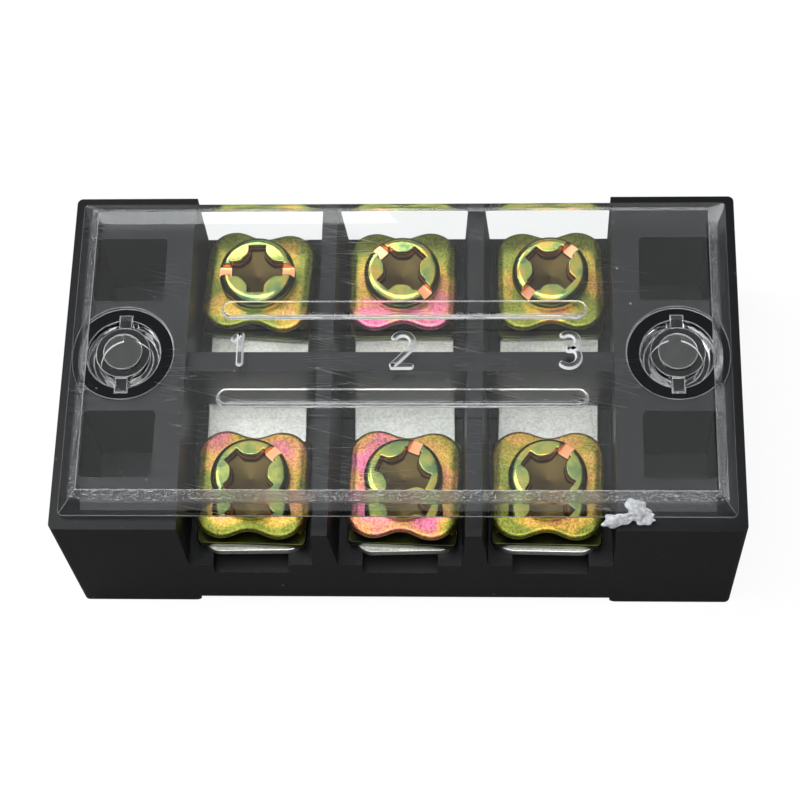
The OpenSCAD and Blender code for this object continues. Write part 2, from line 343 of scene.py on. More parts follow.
def maths(tree, operation, *values, clamp=False):
    """The result of one step of arithmetic on values or sockets."""
    inputs = {f"i{number}": value for number, value in enumerate(values)}
    return add_node(tree, "ShaderNodeMath", {"operation": operation, "use_clamp": clamp}, **inputs).outputs[0]


def near(tree, value, centre, spread):
    """1 where a value lies within the spread of a centre, and 0 elsewhere."""
    return maths(tree, "COMPARE", value, centre, spread)


def remapped(tree, value, start, end=(0.0, 1.0)):
    """A value carried from one range to another and held inside it."""
    ranges = dict(zip(("i1", "i2", "i3", "i4"), (*start, *end)))
    return add_node(tree, "ShaderNodeMapRange", Value=value, **ranges).outputs["Result"]


def stored(tree, name):
    """A number that add_values has stored on the points of a piece."""
    return add_node(tree, "ShaderNodeAttribute", {"attribute_name": name}).outputs["Fac"]


def upward(tree, vector):
    """The Z of a vector."""
    return add_node(tree, "ShaderNodeSeparateXYZ", Vector=vector).outputs["Z"]


def seen_directly(tree):
    """1 for a ray from the camera or through the cover, and 0 for any other."""
    rays = add_node(tree, "ShaderNodeLightPath").outputs
    return maths(tree, "ADD", rays["Is Camera Ray"], rays["Is Transmission Ray"], clamp=True)


def rgba(value):
    """A colour property as red, green, blue and alpha."""
    return tuple(value) + (1.0,)


def toned(value, share):
    """A colour made darker or lighter."""
    return tuple(level * share for level in value)


def ramp(tree, factor, stops):
    """A colour ramp through (position, colour) stops."""
    node = add_node(tree, "ShaderNodeValToRGB", Fac=factor)
    while len(node.color_ramp.elements) < len(stops):
        node.color_ramp.elements.new(0.5)
    for element, (position, value) in zip(node.color_ramp.elements, stops):
        element.position = position
        element.color = rgba(value)
    return node.outputs["Color"]


def blended(tree, share, first, second, blend_type="MIX"):
    """A share of the second colour mixed into the first, or multiplied into it."""
    settings = {"data_type": "RGBA", "blend_type": blend_type}
    return add_node(tree, "ShaderNodeMix", settings, i0=share, i6=first, i7=second).outputs[2]


def bumped(tree, height, strength, depth):
    """The normal of a surface whose relief is so many millimetres deep."""
    bump = add_node(tree, "ShaderNodeBump", Strength=strength, Distance=depth * MM, Height=height)
    return bump.outputs["Normal"]


def skin(tree, tone, roughness, **more):
    """The shader of a surface, with any other inputs by name."""
    return add_node(tree, "ShaderNodeBsdfPrincipled", Base_Color=tone, Roughness=roughness, **more).outputs[0]


def layered(tree, share, first, second):
    """A share of the second shader mixed into the first."""
    return add_node(tree, "ShaderNodeMixShader", i0=share, i1=first, i2=second).outputs[0]


def black_thermoset(tree, place, colours):
    """Compression-moulded black thermoset: a dense, slightly satin skin that picks up dust."""
    flow = noise(tree, place, scale=0.12, detail=4.0)
    grain = noise(tree, place, scale=7.0, detail=3.0)
    # dust specks up to 0.2 mm across, where a second noise is high
    specks = add_node(tree, "ShaderNodeTexVoronoi", Vector=place, Scale=1.1, Randomness=1.0).outputs["Distance"]
    few = noise(tree, place, scale=0.9, detail=2.0)
    speck_size = remapped(tree, few, (0.5, 0.72), (0.0, 0.11))
    dust = maths(tree, "LESS_THAN", specks, speck_size)
    tone = ramp(tree, flow, [(0.3, colours.black), (0.75, toned(colours.black, 1.5))])
    dusty = blended(tree, dust, tone, rgba(colours.dust))
    rough = remapped(tree, grain, (0.3, 0.7), (0.34, 0.46))
    normal = bumped(tree, grain, strength=0.12, depth=0.02)
    return skin(tree, dusty, rough, IOR=1.5, Specular_IOR_Level=0.24, Normal=normal)


# Z of the cover's true normal, as a centre and a spread: on its chamfers, and on the rounded edges below
# and above them, where a highlight is painted. On the flats it is 1, and on the sides 0.
CHAMFER, LOWER_EDGE, UPPER_EDGE = (0.7, 0.08), (0.41, 0.21), (0.875, 0.095)
# Heights between which the flecks on the cover's chamfer set in, in millimetres
FLECKS_START = (18.75, 18.95)
# Two sets of hair scratches on the cover: their turn in radians, and features to a millimetre along them
SCRATCHES = ((0.25, 0.02), (-0.04, 0.015))
# Share of painted highlight in the walls of the cover's figures, in its flecks and along its rounded edges
WALL_HIGHLIGHT, FLECK_HIGHLIGHT, EDGE_HIGHLIGHT = 0.8, 0.5, 0.32


def clear_styrene(tree, place, colours):
    """Injection-moulded clear styrene: water-clear flats with hair scratches, a tool-marked chamfer, and
    painted highlights.
    """
    upright = upward(tree, add_node(tree, "ShaderNodeNewGeometry").outputs["True Normal"])
    # the upper part of the chamfer is flecked by its tool; the rest of it is only a little hazy
    leaning = near(tree, upright, *CHAMFER)
    upper = remapped(tree, upward(tree, place), FLECKS_START)
    along = add_node(tree, "ShaderNodeMapping", Vector=place, Scale=(4.0, 9.0, 9.0)).outputs[0]
    marks = noise(tree, along, scale=1.0, detail=5.0)
    scuffed = maths(tree, "MULTIPLY", maths(tree, "MULTIPLY", leaning, upper), marks)
    # hair scratches are level lines of drawn-out noises, where a broad noise is high, on the flats alone
    rubbed = noise(tree, place, scale=0.11, detail=2.0)
    width = remapped(tree, rubbed, (0.56, 0.75), (0.0, 0.005))
    scratch = 0.0
    for turn, stretch in SCRATCHES:
        swung = add_node(tree, "ShaderNodeVectorRotate", {"rotation_type": "Z_AXIS"}, Vector=place, Angle=turn)
        drawn = add_node(tree, "ShaderNodeMapping", Vector=swung.outputs[0], Scale=(stretch, 0.9, 0.1))
        line = near(tree, noise(tree, drawn.outputs[0], scale=1.0, detail=1.0), 0.5, width)
        scratch = maths(tree, "MAXIMUM", line, scratch)
    scratch = maths(tree, "MULTIPLY", scratch, maths(tree, "GREATER_THAN", upright, 0.98))
    # roughness is 0.012, with 0.025 more on the chamfers and 0.35 more on a scratch
    haze = maths(tree, "MULTIPLY_ADD", leaning, 0.025, 0.012)
    rough = maths(tree, "MULTIPLY_ADD", scratch, 0.35, haze)
    normal = bumped(tree, scuffed, strength=0.7, depth=0.12)
    clear = skin(tree, rgba(colours.clear), rough, IOR=1.5, Transmission_Weight=1.0, Normal=normal)
    # painted highlights standing in for glints and scattered light: white in the figures' walls, the brightest
    # flecks and the rounded edges
    walls = maths(tree, "MULTIPLY", stored(tree, "wall"), WALL_HIGHLIGHT)
    flecks = maths(tree, "MULTIPLY", maths(tree, "GREATER_THAN", scuffed, 0.59), FLECK_HIGHLIGHT)
    edges = maths(tree, "ADD", near(tree, upright, *LOWER_EDGE), near(tree, upright, *UPPER_EDGE))
    rims = maths(tree, "MULTIPLY", edges, EDGE_HIGHLIGHT)
    share = maths(tree, "MAXIMUM", maths(tree, "MAXIMUM", walls, flecks), rims)
    # the painted highlight is a white diffuse in the torn gate's stress-white colour
    painted_highlight = add_node(tree, "ShaderNodeBsdfDiffuse", Color=rgba(colours.stress)).outputs[0]
    # light passes straight through to what lies under the cover
    open_way = add_node(tree, "ShaderNodeBsdfTransparent", Color=(0.92, 0.93, 0.93, 1.0)).outputs[0]
    shadow = add_node(tree, "ShaderNodeLightPath").outputs["Is Shadow Ray"]
    return layered(tree, shadow, layered(tree, share, clear, painted_highlight), open_way)


def stress_white(tree, place, colours):
    """Torn styrene: crazed by stress, so that it scatters light and looks white."""
    craze = noise(tree, place, scale=3.0, detail=5.0)
    tone = ramp(tree, craze, [(0.3, toned(colours.stress, 0.45)), (0.62, colours.stress)])
    normal = bumped(tree, craze, strength=0.5, depth=0.1)
    return skin(tree, tone, 0.4, Transmission_Weight=0.2, Normal=normal)


def dull_tin(tree, place, colours):
    """Tin plate as plated: a bright grey with a fine sandy grain and no polish."""
    grain = noise(tree, place, scale=5.0, detail=4.0)
    tone = ramp(tree, grain, [(0.35, toned(colours.tin, 0.72)), (0.65, colours.tin)])
    rough = remapped(tree, grain, (0.3, 0.7), (0.32, 0.5))
    normal = bumped(tree, grain, strength=0.35, depth=0.03)
    return skin(tree, tone, rough, Metallic=1.0, Normal=normal)


def yellow_zinc(tree, place, colours):
    """Zinc plate with yellow chromate: its thin film drifts from olive through gold and amber to rose."""
    # the film's colour changes over 3 to 4 mm
    drift = noise(tree, place, scale=0.28, detail=2.0, Distortion=0.6)
    spread = remapped(tree, drift, (0.3, 0.7), (-0.38, 0.38))
    film = maths(tree, "ADD", spread, stored(tree, "tint"))
    films = [(0.12, colours.olive), (0.38, colours.gold), (0.62, colours.amber), (0.9, colours.rose)]
    tone = ramp(tree, film, films)
    grain = noise(tree, place, scale=5.5, detail=4.0)
    shade = ramp(tree, grain, [(0.38, (0.4, 0.36, 0.3)), (0.6, WHITE[:3])])
    mottled = blended(tree, 0.8, tone, shade, "MULTIPLY")
    rough = remapped(tree, grain, (0.3, 0.7), (0.32, 0.5))
    normal = bumped(tree, grain, strength=0.8, depth=0.035)
    return skin(tree, mottled, rough, Metallic=1.0, Normal=normal)


def plate_zinc(tree, place, colours):
    """The same chromate on the rolled clamp plates, where it is taken to be thin and greenish, and painted dark
    for the shade that they lie in under the saddles.
    """
    drift = noise(tree, place, scale=0.4, detail=3.0)
    # painted shade: the plates are kept dark, with the greenish cast of the chromate
    tone = ramp(tree, drift, [(0.35, colours.plate), (0.7, toned(colours.olive, 0.25))])
    return skin(tree, tone, 0.3, Metallic=1.0)


def screw_zinc(tree, place, colours):
    """Bright zinc with a thin greenish chromate, orange in the slot, and painted dark brown in the cross recess
    as the shade that fills it.
    """
    zone = stored(tree, "zone")
    film = noise(tree, place, scale=0.7, detail=2.0)
    teal = tuple(level * share for level, share in zip(colours.screw, (0.45, 0.62, 0.95)))
    top = ramp(tree, film, [(0.34, teal), (0.52, colours.screw), (0.72, colours.gold)])
    # painted shade: the cross recess, zone 1, is coloured dark brown; the slot, zone 0.5, keeps its orange
    drive = ramp(tree, zone, [(0.4, colours.salmon), (0.55, colours.salmon), (0.75, colours.recess)])
    tone = blended(tree, remapped(tree, zone, (0.1, 0.4)), top, drive)
    grain = noise(tree, place, scale=5.0, detail=3.0)
    rough = remapped(tree, zone, (0.4, 0.9), (0.24, 0.5))
    normal = bumped(tree, grain, strength=0.15, depth=0.02)
    return skin(tree, tone, rough, Metallic=1.0, Normal=normal)


def studio_floor(tree, place, colours):
    """Matt white paper: white to the eye and through the cover, and still taking a shadow."""
    seen = seen_directly(tree)
    fibre = noise(tree, place, scale=0.8, detail=3.0)
    tone = ramp(tree, fibre, [(0.0, toned(colours.floor, 0.98)), (1.0, colours.floor)])
    # light that the paper throws back on the black base is kept low, as under a cut-out
    spill = blended(tree, seen, (0.12, 0.12, 0.12, 1.0), tone)
    paper = add_node(tree, "ShaderNodeBsdfDiffuse", Color=spill).outputs[0]
    glow = add_node(tree, "ShaderNodeEmission", Color=WHITE, Strength=1.0).outputs[0]
    return layered(tree, maths(tree, "MULTIPLY", seen, 0.9), paper, glow)


# Each finish by its short name: the name of its material, and what makes its shader
FINISHES = {
    "black": ("moulded_black_thermoset", black_thermoset),
    "clear": ("clear_styrene", clear_styrene),
    "stress": ("stress_whitened_styrene", stress_white),
    "tin": ("dull_tin_plate", dull_tin),
    "zinc": ("yellow_chromate_zinc", yellow_zinc),
    "plate": ("chromate_zinc_painted_shade", plate_zinc),
    "screw": ("green_chromate_zinc", screw_zinc),
    "floor": ("studio_paper", studio_floor),
}
# The materials made so far, by short name
MADE = {}


def material_of(key):
    """One of the strip's finishes, made when it is first asked for, with its coordinates in millimetres."""
    if key not in MADE:
        name, maker = FINISHES[key]
        made = MADE[key] = bpy.data.materials.new(name)
        made.use_nodes = True
        tree = made.node_tree
        tree.nodes.clear()
        output = add_node(tree, "ShaderNodeOutputMaterial")
        metres = add_node(tree, "ShaderNodeTexCoord").outputs["Object"]
        place = add_node(tree, "ShaderNodeVectorMath", {"operation": "SCALE"}, i0=metres, Scale=1.0 / MM)
        shader = maker(tree, place.outputs[0], bpy.context.scene.strip_colours)
        tree.links.new(shader, output.inputs["Surface"])
    return MADE[key]


# ---- saddle washers ---------------------------------------------------------------

# Turn of each clamp in degrees
CLAMP_TURNS = {"far_1": -4.0, "far_2": 0.5, "far_3": 1.0, "near_1": -1.4, "near_2": -2.4, "near_3": -1.0}
# Film of each saddle, from 0, olive, to 1, rose: at its middle, and how it grows to the right and to the
# far side
FILMS = {
    "far_1": (0.2, 0.06, -0.05),
    "far_2": (0.5, 0.0, -0.55),
    "far_3": (0.27, 0.16, -0.08),
    "near_1": (0.47, 0.02, 0.18),
    "near_2": (0.74, -0.1, 0.1),
    "near_3": (0.45, 0.1, 0.14),
}
# Where a saddle's lobes start to fall, from its middle line, and the crest over each waist: half its
# width, both in millimetres, and the share of the fall that it is spared
LOBE_START, CREST_HALF, CREST_SHARE = 2.5, 1.15, 0.75
# Shares of the bend's radius: the drop of a side, and how far in from it the underside starts down
SIDE_DROP, FOOT_START = 0.8, 0.9
# Rings of a saddle from the hole to the cut edge, and how closely they crowd to the edge
TOP_RINGS, CROWDING = 34, 0.85
# Film lost at the rim of a saddle, and the share of the way out at which the loss starts
RIM_LOSS, RIM_START = 0.22, 0.8


def waisted_outline(sizes, n, corner_points=13):
    """n points round a square with round corners whose far and near edges draw in to a waist.

    The square's half sizes are a and b and its corner radius is r. A corner's points are its centre plus
    r (cos t, sin t). The n points are spaced evenly along the corners and the straight edges between
    them, and on the far and near edges the waist then takes w (1 + cos(pi x / (a - r))) / 2 off y."""
    a, b, r = sizes.width / 2, sizes.length / 2, sizes.corner
    knots_x, knots_y = [], []
    for sx, sy, start in ((a, b, 0), (-a, b, 90), (-a, -b, 180), (a, -b, 270)):
        t = np.radians(np.linspace(start, start + 90, corner_points))
        knots_x.append(sx - math.copysign(r, sx) + r * np.cos(t))
        knots_y.append(sy - math.copysign(r, sy) + r * np.sin(t))
    x = np.concatenate([[a], *knots_x, [a]])
    y = np.concatenate([[0.0], *knots_y, [0.0]])
    run = np.concatenate([[0.0], np.cumsum(np.hypot(np.diff(x), np.diff(y)))])
    s = np.linspace(0, run[-1], n, endpoint=False)
    px, py = np.interp(s, run, x), np.interp(s, run, y)
    edge = np.abs(py) > b - 1e-3
    dip = sizes.waist * (1 + np.cos(np.pi * np.clip(px / (a - r), -1, 1))) / 2
    return px, py - np.sign(py) * np.where(edge, dip, 0.0)


def saddle_points(sizes, columns=224, edge_rings=6):
    """Points of a saddle washer: a closed section carried round the hole.

    The section runs over the top from the hole to the edge, round the edge and back underneath. The
    top's height falls along a quarter circle of the bend radius at the two sides, and along a cubic
    ease of the lobe depth towards the four corners. The underside is the same form one sheet lower,
    and comes down to the clamp plate at the sides."""
    ox, oy = waisted_outline(sizes, columns)
    angle = np.arctan2(oy, ox)
    hx, hy = sizes.hole * np.cos(angle), sizes.hole * np.sin(angle)
    e = sizes.edge
    reach = np.linspace(0, 1, TOP_RINGS) ** CROWDING
    turn = np.radians(np.linspace(0, 90, edge_rings))

    def top(x, y):
        side = np.clip(np.abs(x) - (sizes.width / 2 - sizes.bend), 0, sizes.bend)
        fall = sizes.bend - np.sqrt(np.maximum(sizes.bend**2 - side**2, 0))
        crest = 1 - CREST_SHARE * np.exp(-((x / CREST_HALF) ** 2))
        ease = smooth_step(np.abs(y), LOBE_START, sizes.length / 2) * crest
        return sizes.height - fall * SIDE_DROP - sizes.lobe * ease

    def under(x, y):
        start, end = sizes.width / 2 - sizes.bend * FOOT_START, sizes.width / 2 - sizes.thickness
        foot = smooth_step(np.abs(x), start, end)
        return np.maximum((top(x, y) - sizes.thickness) * (1 - foot), 0.0)

    rings = []
    span = np.hypot(ox - hx, oy - hy)
    nx, ny = (ox - hx) / span, (oy - hy) / span
    ex, ey = ox - e * nx, oy - e * ny
    for t in reach:
        x, y = hx + (ex - hx) * t, hy + (ey - hy) * t
        rings.append((x, y, top(x, y)))
    edge_top, edge_low = top(ex, ey), under(ex, ey)
    low_e = np.minimum(e, (edge_top - edge_low) / 2)
    for t in turn[1:]:
        out, down = e * math.sin(t), 1 - math.cos(t)
        rings.append((ex + out * nx, ey + out * ny, edge_top - e * down))
    for t in turn[::-1]:
        out, up = e * math.sin(t), 1 - math.cos(t)
        rings.append((ex + out * nx, ey + out * ny, edge_low + low_e * up))
    for t in reach[::-1][1:]:
        x, y = hx + (ex - hx) * t, hy + (ey - hy) * t
        rings.append((x, y, under(x, y)))
    return np.array(rings).transpose(0, 2, 1)


def saddle_film(sizes, section, film):
    """Film at each point: m + a x / w + b y / l for half sizes w and l, and less along the rim."""
    x, y = section[..., 0], section[..., 1]
    last = section[TOP_RINGS - 1]
    share = np.hypot(x, y) / np.hypot(last[:, 0], last[:, 1])
    m, a, b = film
    rim = RIM_LOSS * smooth_step(share, RIM_START, 1.0)
    return m + a * x / (sizes.width / 2) + b * y / (sizes.length / 2) - rim


class STRIP_OT_saddles(bpy.types.Operator):
    """Presses the six waisted saddle washers and gives each its own film of chromate"""

    bl_idname = "terminal_strip.saddles"
    bl_label = "Saddle washers"

    def execute(self, context):
        sizes = context.scene.saddle_sizes
        section = saddle_points(sizes)
        faces = grid_faces(*section.shape[:2], wrap_rows=True, wrap_columns=True)
        for row, pole in TERMINALS:
            key = f"{row}_{pole}"
            node = "saddle_washer_" + key
            centre = middle("terminal_screw_" + key)
            points = section.reshape(-1, 3)
            x, y = turned(points[:, 0], points[:, 1], CLAMP_TURNS[key])
            points = np.stack([centre[0] + x, centre[1] + y, lowest(node) + points[:, 2]], -1)
            piece = new_piece("saddle_" + key, points, faces, "clamp_" + key, material_of("zinc"))
            add_values(piece, "tint", saddle_film(sizes, section, FILMS[key]))
            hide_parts(node)
        return {"FINISHED"}


# ---- screws ---------------------------------------------------------------------------

# Direction of each driver slot, in degrees from the strip's length
SLOT_TURNS = {"far_1": 0.0, "far_2": 135.0, "far_3": 48.0, "near_1": 45.0, "near_2": 68.0, "near_3": 55.0}
# Rounding where the wings of the cross meet and where they meet the core, in millimetres
WING_ROUNDING, CORE_ROUNDING = 0.5, 0.45
# Fall of the cross's floor to the centre, in millimetres to a millimetre, and its least depth
FLOOR_FALL, FLOOR_LEAST = 0.32, 1.05
# Where the rims of the slot and of the cross start and end, in millimetres inside their outlines
SLOT_RIM, CROSS_RIM = (-0.05, 0.06), (-0.09, 0.12)
# Rise of the middle of a head over its shoulder, and radius of the last ring at a centre, in millimetres
CROWN, CENTRE = 0.02, 0.04
# Depth of the thread as a share of its pitch
THREAD_DEPTH = 0.3
# Length of the shank's blunt tip, and of its lap into the head, in millimetres
TIP, LAP = 0.5, 0.02


def soft_minimum(a, b, k):
    """The smaller of two distances, with the corner between them rounded by about k."""
    h = np.clip(0.5 + 0.5 * (b - a) / k, 0, 1)
    return b * (1 - h) + a * h - k * h * (1 - h)


def drive_depth(sizes, x, y):
    """Depth of the drive under the head's top at x, y, for a slot along x, and its zone.

    Each part is a distance to its outline, negative inside: the slot is |y| - w / 2, a wing of the
    cross is a bar w wide and as long as the cross, and the core is a disc of radius r. The wings and
    the core are joined by a soft minimum, which rounds the islands' corners. The slot's floor is flat;
    the cross falls as a cone towards the centre. Zone is 0 on top, 0.5 in the slot and 1 in the cross."""
    slot = np.abs(y) - sizes.slot / 2
    half, reach = sizes.wing / 2, sizes.cross / 2
    wings = [np.maximum(np.abs(v) - half, np.abs(u) - reach) for u, v in ((x, y), (y, x))]
    r = np.hypot(x, y)
    cross = soft_minimum(soft_minimum(*wings, WING_ROUNDING), r - sizes.core, CORE_ROUNDING)
    floor = np.maximum(sizes.cross_depth - FLOOR_FALL * r, FLOOR_LEAST)
    in_slot = smooth_step(-slot, *SLOT_RIM)
    in_cross = smooth_step(-cross, *CROSS_RIM)
    depth = np.maximum(sizes.slot_depth * in_slot, floor * in_cross)
    return depth, np.maximum(0.5 * in_slot, in_cross)


def head_points(sizes, columns=320, shoulder_rings=16, top_rings=63):
    """Rings of a pan head from its seat up the side, over the shoulder and in to the centre, and their zones.

    A ring at radius r and height z is (r cos t, r sin t, z). The side is upright, the shoulder is a
    quarter of an ellipse taller than it is wide, and the top is all but flat. The drive then caps the
    height at the head's top less its depth."""
    r0, h, s = sizes.head, sizes.height, sizes.shoulder
    side = h - sizes.drop
    bend = np.radians(np.linspace(0, 90, shoulder_rings))
    inward = np.linspace(r0 - s, CENTRE, top_rings + 1)[1:]
    radius = np.concatenate([[sizes.shank, r0, r0, r0], r0 - s + s * np.cos(bend), inward])
    height = np.concatenate([[0, 0, side / 2, side], side + sizes.drop * np.sin(bend), np.full(top_rings, h)])
    t = np.linspace(0, 2 * math.pi, columns, endpoint=False)
    x, y = radius[:, None] * np.cos(t), radius[:, None] * np.sin(t)
    bow = CROWN * np.minimum(radius / (r0 - s), 1.0) ** 2
    z = np.maximum(height - bow, 0.0)[:, None]
    depth, zone = drive_depth(sizes, x, y)
    capped = np.minimum(z, h - depth)
    return np.stack([x, y, capped], -1), np.where(capped < z - 1e-4, zone, 0.0)


def thread_points(sizes, columns=36, steps_per_pitch=8):
    """Rings down a threaded shank, from just inside the head: between crests the radius falls along a
    triangle wave of (z / pitch - t / 2 pi), and at the end it draws in to a blunt tip."""
    rows = int(sizes.length / sizes.pitch * steps_per_pitch)
    z = np.linspace(LAP, -sizes.length, rows)[:, None]
    t = np.linspace(0, 2 * math.pi, columns, endpoint=False)[None, :]
    phase = np.mod(z / sizes.pitch - t / (2 * math.pi), 1.0)
    radius = sizes.shank - 2 * THREAD_DEPTH * sizes.pitch * np.abs(phase - 0.5)
    radius = np.minimum(radius, sizes.shank - TIP + np.clip(z + sizes.length, 0, TIP))
    radius = np.concatenate([radius, np.full((1, columns), CENTRE)])
    z = np.concatenate([np.broadcast_to(z, (rows, columns)), np.full((1, columns), -sizes.length)])
    t = np.broadcast_to(t, radius.shape)
    return np.stack([radius * np.cos(t), radius * np.sin(t), z], -1)


class STRIP_OT_screws(bpy.types.Operator):
    """Turns the six terminal screws: a pan head with slot and cross, and a threaded shank"""

    bl_idname = "terminal_strip.screws"
    bl_label = "Terminal screws"

    def execute(self, context):
        sizes = context.scene.screw_sizes
        head, zone = head_points(sizes)
        thread = thread_points(sizes)
        faces = grid_faces(*head.shape[:2], wrap_columns=True)
        thread_faces = grid_faces(*thread.shape[:2], wrap_columns=True)
        for row, pole in TERMINALS:
            key = f"{row}_{pole}"
            node = "terminal_screw_" + key
            centre = middle(node)
            seat = highest(node) - sizes.height
            for part, grid, quads in (("head", head, faces), ("shank", thread, thread_faces)):
                points = grid.reshape(-1, 3)
                x, y = turned(points[:, 0], points[:, 1], SLOT_TURNS[key])
                points = np.stack([centre[0] + x, centre[1] + y, seat + points[:, 2]], -1)
                piece = new_piece(f"screw_{part}_{key}", points, quads, "screw_" + key, material_of("screw"))
                add_values(piece, "zone", zone if part == "head" else np.zeros(len(points)))
                if part == "head":
                    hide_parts(node)
        return {"FINISHED"}


# ---- cover -------------------------------------------------------------------------------

# Width of the leaning walls of a raised figure, the sliver that parts a wall from the faces beside it,
# and the spacing of the points along a stroke, in millimetres
WALL, SLIVER, STROKE_STEP = 0.15, 0.01, 0.06
# Place of the middle figure on the cover, and gap under it, in millimetres
FIGURE_PLACE, FIGURE_GAP = (0.4, -0.35), 0.01
# Height of the two ribs over the cover's flat top, in millimetres
RIB_HEIGHT = 0.3

# The torn gate: flakes over the cover's near edge, each by its centre, half length, half width, half
# thickness, turn in the slope of the chamfer and seed, in millimetres and degrees
FLAKES = (
    ((18.0, -14.75, 17.95), 1.3, 0.62, 0.16, 8.0, 3),
    ((19.55, -14.1, 18.5), 1.05, 0.9, 0.14, -35.0, 8),
    ((20.05, -14.6, 18.0), 1.0, 0.55, 0.14, -8.0, 5),
)
# Sine and cosine of the slope of the cover's chamfer, which falls by 45 degrees towards the near side
SLOPE = 0.7071
# How ragged a flake's outline is, as a share of its size, and the height of its waves, in millimetres
RAGGED, WAVE = 0.13, 0.1


def arc_points(cx, cy, r, start, end, n=14):
    """Points on an arc about (cx, cy), from one angle to another in degrees."""
    t = np.radians(np.linspace(start, end, n))
    return np.stack([cx + r * np.cos(t), cy + r * np.sin(t)], -1)


def figure_path(figure):
    """The middle line of a pole number, one unit high, centred, as a run of points."""
    if figure == 1:
        return np.array([[-0.2, 0.28], [0.06, 0.5], [0.06, -0.5]])
    if figure == 2:
        bowl = arc_points(0.0, 0.22, 0.28, 165, -35)
        return np.concatenate([bowl, [[-0.3, -0.5], [0.32, -0.5]]])
    top = arc_points(0.0, 0.25, 0.25, 150, -90)
    low = arc_points(0.0, -0.22, 0.28, 90, -150)
    return np.concatenate([top, low])


def stroke_points(path, width, relief):
    """A raised stroke carried along a path, with a flat crown between leaning walls and round ends, and
    the share of wall at each of its points."""
    path = resampled(path, STROKE_STEP)
    step = np.gradient(path, axis=0)
    step /= np.linalg.norm(step, axis=1)[:, None]
    side = np.stack([-step[:, 1], step[:, 0]], -1)
    # the section narrows along a half circle at both ends, to a seventh of its width, and is all wall there
    along = np.concatenate([[0.0], np.cumsum(np.linalg.norm(np.diff(path, axis=0), axis=1))])
    left, right = along, along[-1] - along
    cap = np.sqrt(np.clip(1 - (1 - np.clip(np.minimum(left, right) / (width / 2), 0, 1)) ** 2, 0.02, 1))
    crown = width / 2 - WALL
    half = np.array([width / 2 - SLIVER, width / 2, crown + SLIVER, crown])
    across = np.concatenate([half, -half[::-1]])
    up = relief * np.array([0.0, 0.0, 1.0, 1.0, 1.0, 1.0, 0.0, 0.0])
    points = path[:, None, :] + side[:, None, :] * (across[None, :, None] * cap[:, None, None])
    height = np.broadcast_to(up, points.shape[:2]) * cap[:, None] ** 0.5
    wall = np.broadcast_to([0.0, 1.0, 1.0, 0.0, 0.0, 1.0, 1.0, 0.0], points.shape[:2]).copy()
    wall[:2, 1:7], wall[-2:, 1:7] = 1.0, 1.0
    return np.concatenate([points, height[:, :, None]], -1), wall


def resampled(path, step):
    """The same run of points at an even spacing."""
    run = np.concatenate([[0.0], np.cumsum(np.linalg.norm(np.diff(path, axis=0), axis=1))])
    s = np.linspace(0, run[-1], max(int(run[-1] / step), 4))
    return np.stack([np.interp(s, run, path[:, 0]), np.interp(s, run, path[:, 1])], -1)


def flake_points(centre, length, width, thickness, turn, seed, columns=96, rows=15):
    """A torn flake: a flattened ball whose outline and surface are ragged.

    At longitude t and latitude f it is (length k cos f cos t, width k cos f sin t, thickness sin f), with
    k = 1 + the sum of RAGGED sin(m t + a_m) / sqrt(m) for m from 2 to 9 and angles a_m set by the seed.
    Waves about 2 mm long are added to its height. It lies in the slope of the chamfer."""
    rng = np.random.default_rng(seed)
    t = np.linspace(0, 2 * np.pi, columns, endpoint=False)
    f = np.radians(np.linspace(-88, 88, rows))
    ragged = 1 + sum(RAGGED * np.sin(m * t + rng.uniform(0, 2 * np.pi)) / np.sqrt(m) for m in range(2, 10))
    u = length * ragged[None] * np.cos(f)[:, None] * np.cos(t)[None]
    v = width * ragged[None] * np.cos(f)[:, None] * np.sin(t)[None]
    w = thickness * np.sin(f)[:, None] + WAVE * np.sin(2.6 * u + seed) * np.cos(3.4 * v)
    across, along = turned(u, v, turn)
    y, z = centre[1] + SLOPE * along - SLOPE * w, centre[2] + SLOPE * along + SLOPE * w
    return np.stack([centre[0] + across, y, z], -1)


def cover_top():
    """Height of the cover's flat top, under its raised ribs, in millimetres."""
    return highest("cover") - RIB_HEIGHT


class STRIP_OT_cover(bpy.types.Operator):
    """Finishes the clear cover: soft edges, raised pole numbers and the torn gate at its near edge"""

    bl_idname = "terminal_strip.cover"
    bl_label = "Clear cover"

    def execute(self, context):
        cover = softened("cover", context.scene.strip_edges.cover, material_of("clear"))
        marks = context.scene.mark_sizes
        top = cover_top()
        for pole in POLES:
            path = figure_path(pole) * (marks.height - marks.stroke)
            place, wall = stroke_points(path, marks.stroke, marks.relief)
            along = (pole - POLES[1]) * marks.pitch
            shift = np.array([FIGURE_PLACE[0] + along, FIGURE_PLACE[1], top + FIGURE_GAP])
            points = place.reshape(-1, 3) + shift
            faces = tube_faces(*place.shape[:2])
            piece = new_piece(f"figure_{pole}", points, faces, "cover", material_of("clear"), smooth=False)
            add_values(piece, "wall", wall.ravel())
        for count, flake in enumerate(FLAKES, 1):
            points = flake_points(*flake)
            faces = tube_faces(*points.shape[:2])
            points = points.reshape(-1, 3)
            piece = new_piece(f"gate_flake_{count}", points, faces, "cover", material_of("stress"))
        return {"FINISHED"}


# ---- base, bars and plates --------------------------------------------------------------------


class STRIP_OT_base(bpy.types.Operator):
    """Finishes the moulded base"""

    bl_idname = "terminal_strip.base"
    bl_label = "Moulded base"

    def execute(self, context):
        piece = softened("base", context.scene.strip_edges.base, material_of("black"))
        return {"FINISHED"}


